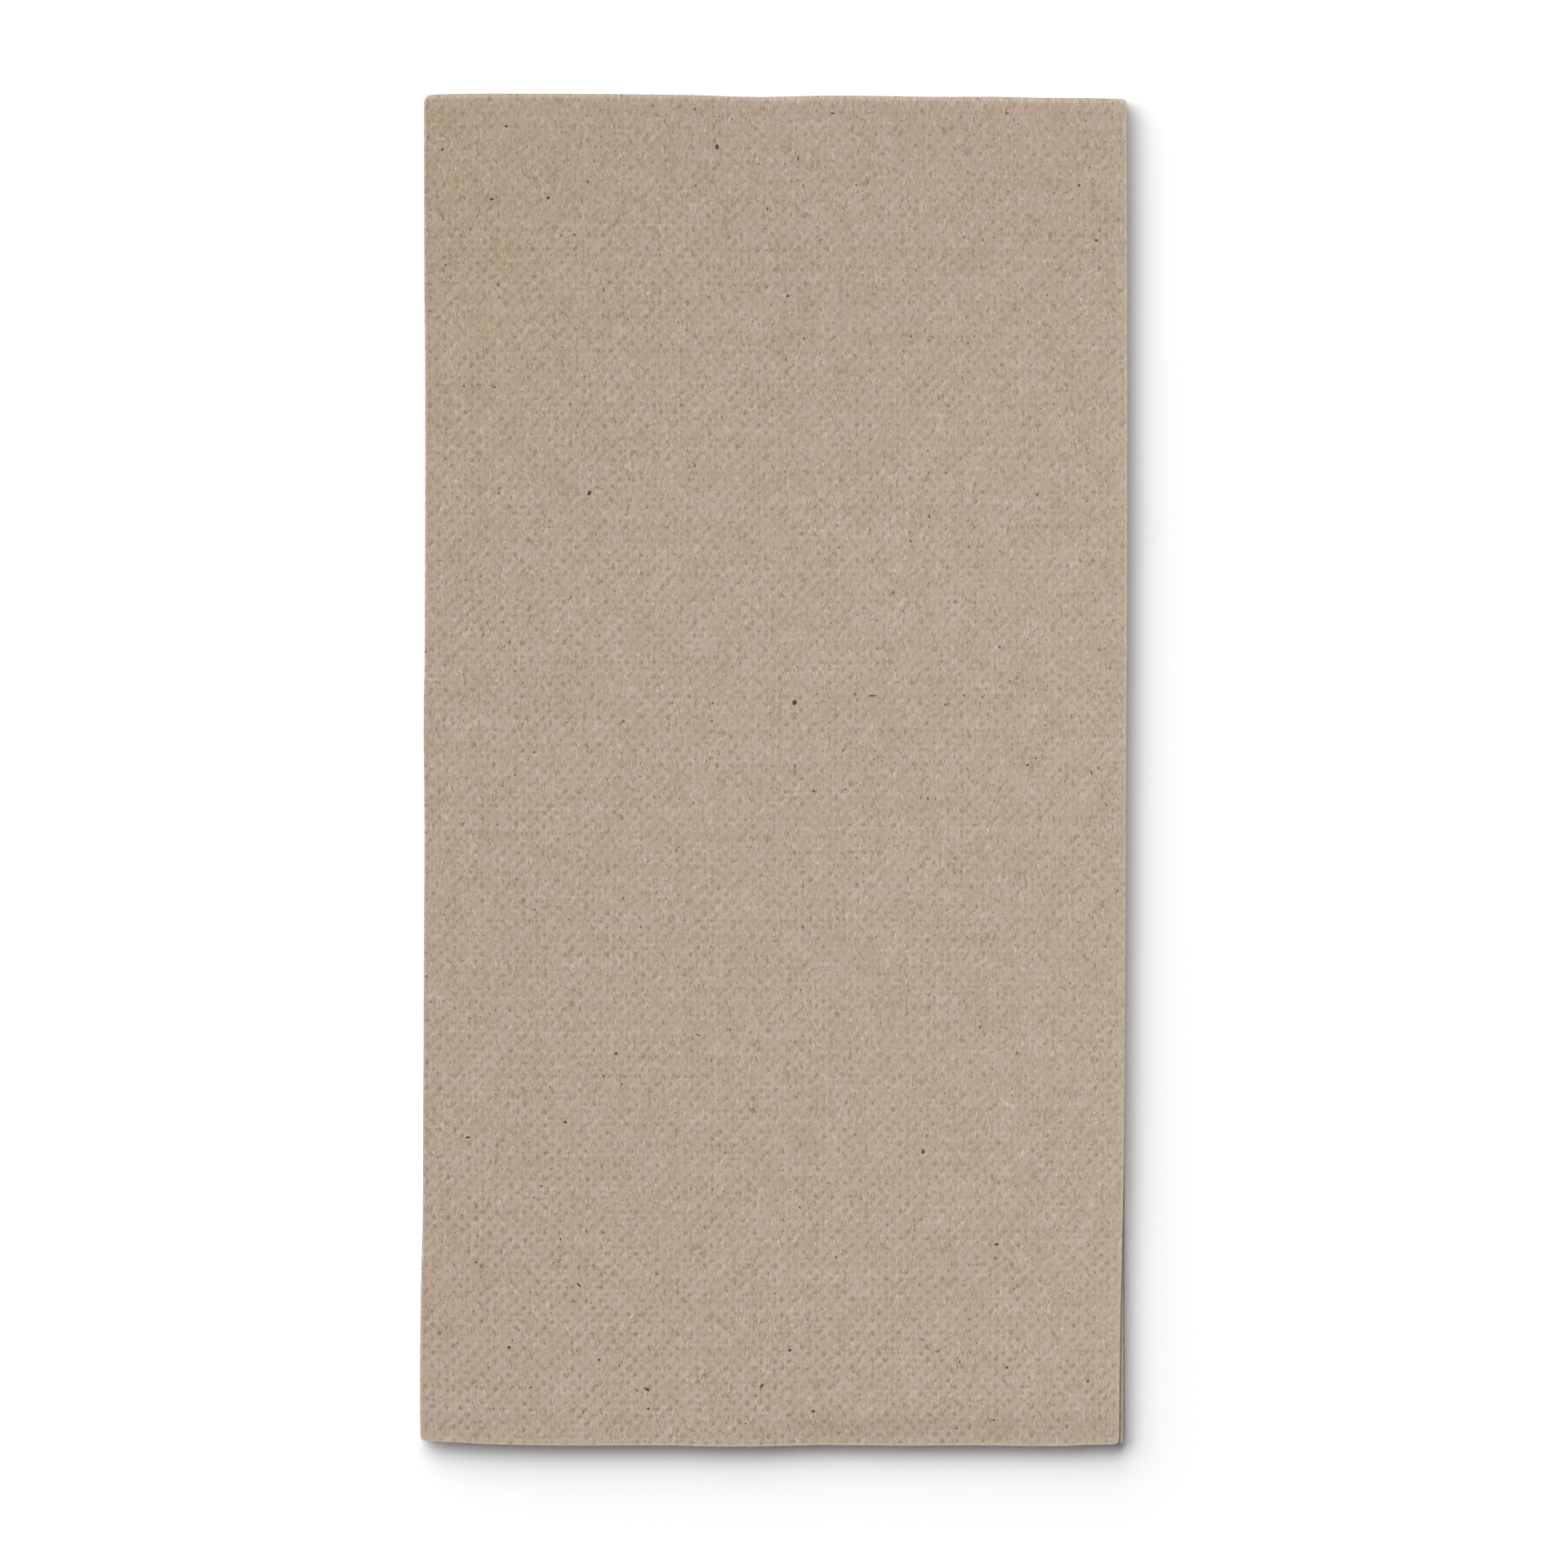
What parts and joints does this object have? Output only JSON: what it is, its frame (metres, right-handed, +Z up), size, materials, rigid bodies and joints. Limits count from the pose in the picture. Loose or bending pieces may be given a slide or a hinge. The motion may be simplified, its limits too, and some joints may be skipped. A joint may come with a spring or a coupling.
{
  "type": "paper napkin",
  "caption": "Folded paper dinner napkin: one embossed tissue sheet in a 1/8 fold, with rounded folds on two sides and loose leaf edges on the other two.",
  "frame": {"origin": "middle of the underside, at the bottom centre of the bounding box", "axes": "+X across the folded napkin, towards the edge with the single fold and the loose leaves; +Y along it, towards the cross fold; +Z up"},
  "size_m": [0.102, 0.1962, 0.0029],
  "materials": {
    "tissue_paper": "matt, unbleached brown, embossed with small dots"
  },
  "bodies": {
    "root": {"folded_napkin": "tissue_paper"}
  },
  "joints": []
}
